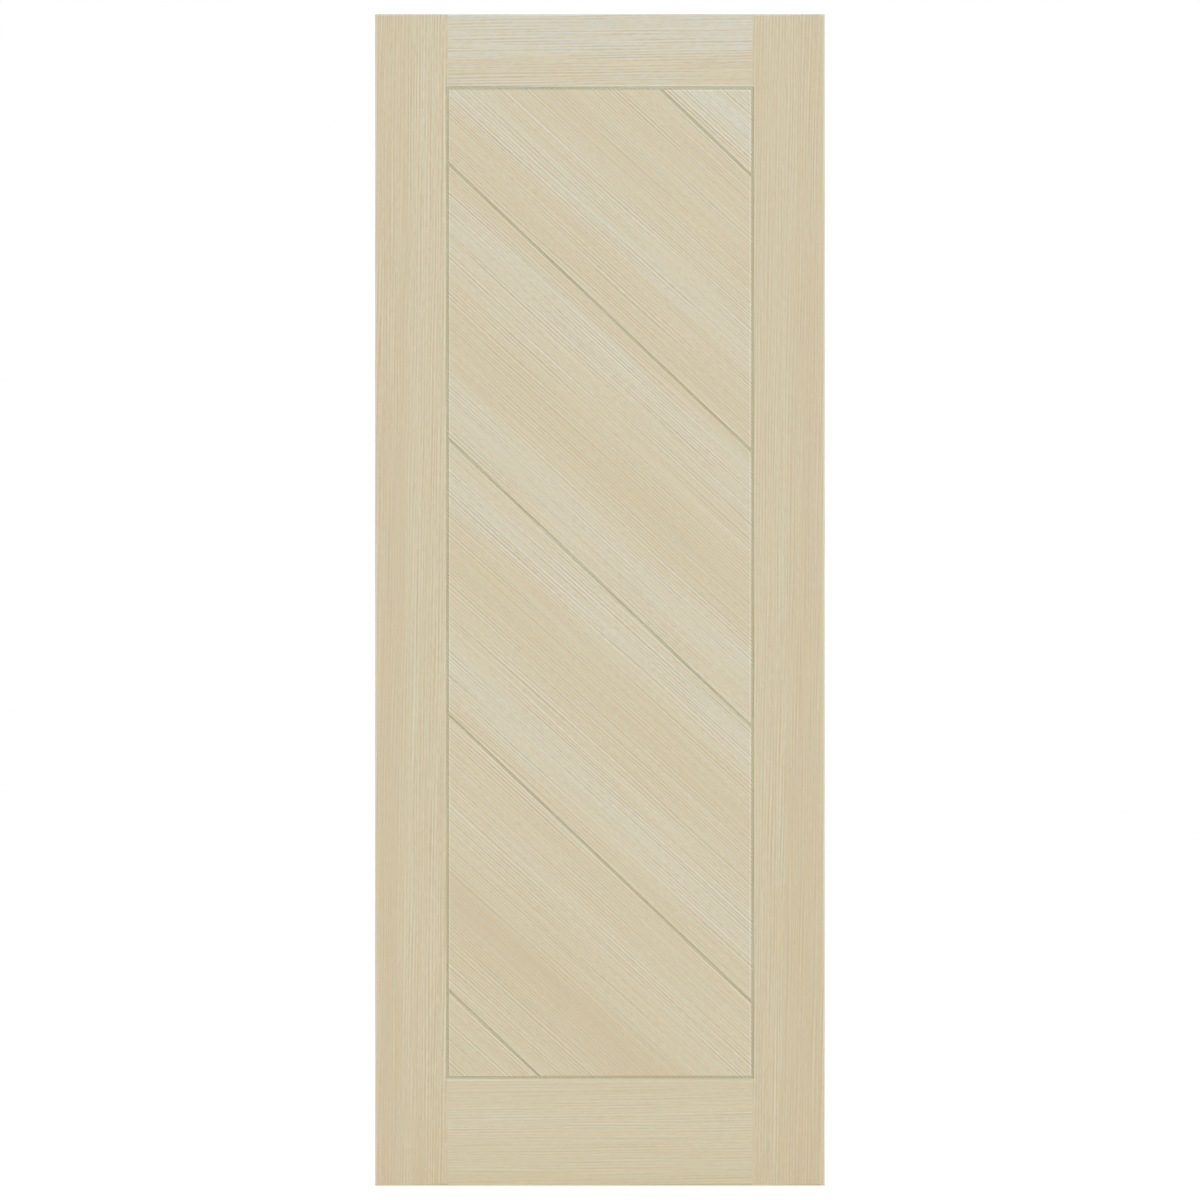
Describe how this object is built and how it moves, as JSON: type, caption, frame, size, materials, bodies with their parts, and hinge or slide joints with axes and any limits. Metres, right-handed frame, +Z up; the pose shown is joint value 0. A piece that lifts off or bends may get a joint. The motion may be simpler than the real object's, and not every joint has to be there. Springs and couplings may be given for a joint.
{
  "type": "interior door leaf",
  "caption": "Flush interior door leaf with stiles, rails and a panel of diagonal V-grooved boards in pale wood veneer, lipped on its long edges and hung from one of them.",
  "frame": {"origin": "foot of the hanging edge: on the outer face of the left lipping, at mid-thickness and at the level of the bottom edge", "axes": "+X across the leaf to the lock edge, +Z up along the stiles, front face towards -Y"},
  "size_m": [0.76, 0.035, 1.98],
  "materials": {
    "stile_veneer": "pale bleached wood veneer, upright grain, matt lacquer",
    "rail_veneer": "pale bleached wood veneer, level grain, matt lacquer",
    "panel_veneer": "pale bleached wood veneer, diagonal grain, matt lacquer",
    "lipping_wood": "solid pale wood strip, matt lacquer",
    "core_wood": "sawn softwood core, bare"
  },
  "bodies": {
    "root": {"back_panel_board_1": "panel_veneer", "back_panel_board_2": "panel_veneer", "back_panel_board_3": "panel_veneer", "back_panel_board_4": "panel_veneer", "back_panel_board_5": "panel_veneer", "back_panel_board_6": "panel_veneer", "bottom_rail_back": "rail_veneer", "bottom_rail_core": "core_wood", "bottom_rail_front": "rail_veneer", "front_panel_board_1": "panel_veneer", "front_panel_board_2": "panel_veneer", "front_panel_board_3": "panel_veneer", "front_panel_board_4": "panel_veneer", "front_panel_board_5": "panel_veneer", "front_panel_board_6": "panel_veneer", "left_edge_lipping": "lipping_wood", "left_stile_back": "stile_veneer", "left_stile_core": "core_wood", "left_stile_front": "stile_veneer", "panel_core": "core_wood", "right_edge_lipping": "lipping_wood", "right_stile_back": "stile_veneer", "right_stile_core": "core_wood", "right_stile_front": "stile_veneer", "top_rail_back": "rail_veneer", "top_rail_core": "core_wood", "top_rail_front": "rail_veneer"}
  },
  "joints": []
}
